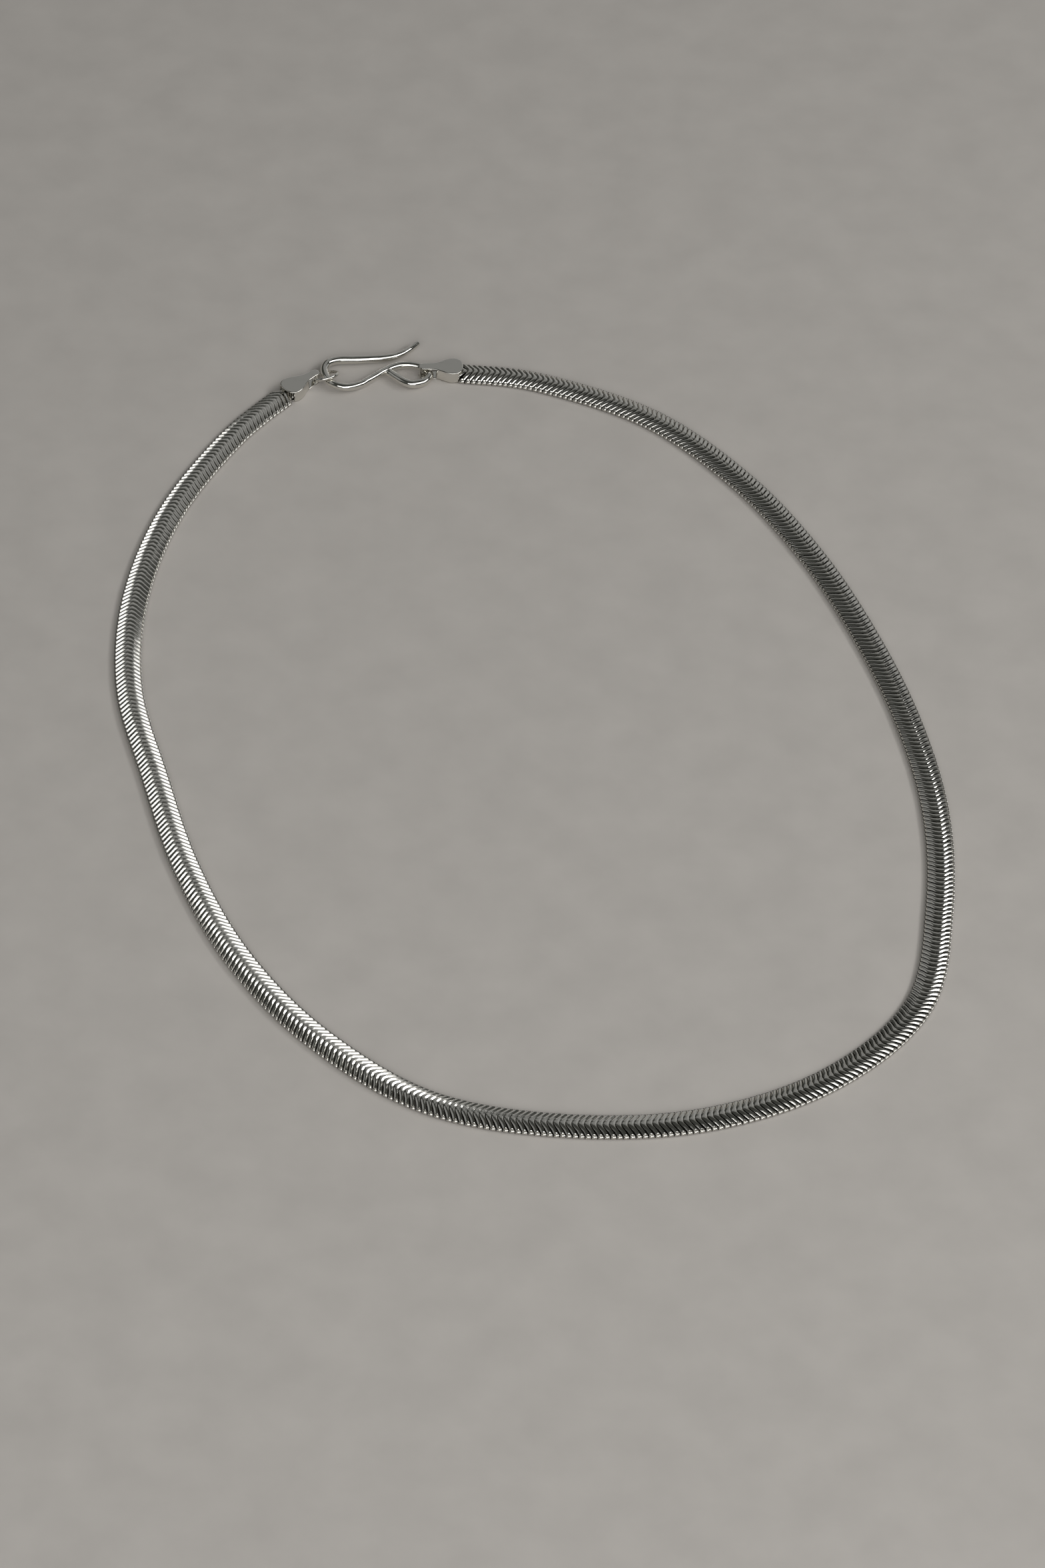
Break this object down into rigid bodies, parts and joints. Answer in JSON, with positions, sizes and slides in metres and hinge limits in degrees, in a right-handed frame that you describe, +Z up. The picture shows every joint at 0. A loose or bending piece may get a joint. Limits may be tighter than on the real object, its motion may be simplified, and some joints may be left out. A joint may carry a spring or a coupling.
{
  "type": "flat snake chain necklace",
  "caption": "Flat snake chain necklace of V-shaped plates, laid as a loop, closed by folded end caps, a bent wire hook and a small jump ring.",
  "frame": {"origin": "middle of the footprint, on the surface that the necklace lies on", "axes": "+Z up, away from the surface; +Y along the loop's long way, towards the clasp"},
  "size_m": [0.1248, 0.1684, 0.0025],
  "materials": {
    "chain_silver": "polished silver plates, with dark grooves between them",
    "findings_silver": "polished silver sheet and wire with light handling wear"
  },
  "bodies": {
    "root": {"chain": "chain_silver", "end_cap_left": "findings_silver", "end_cap_right": "findings_silver", "hook_clasp": "findings_silver", "jump_ring": "findings_silver"}
  },
  "joints": []
}
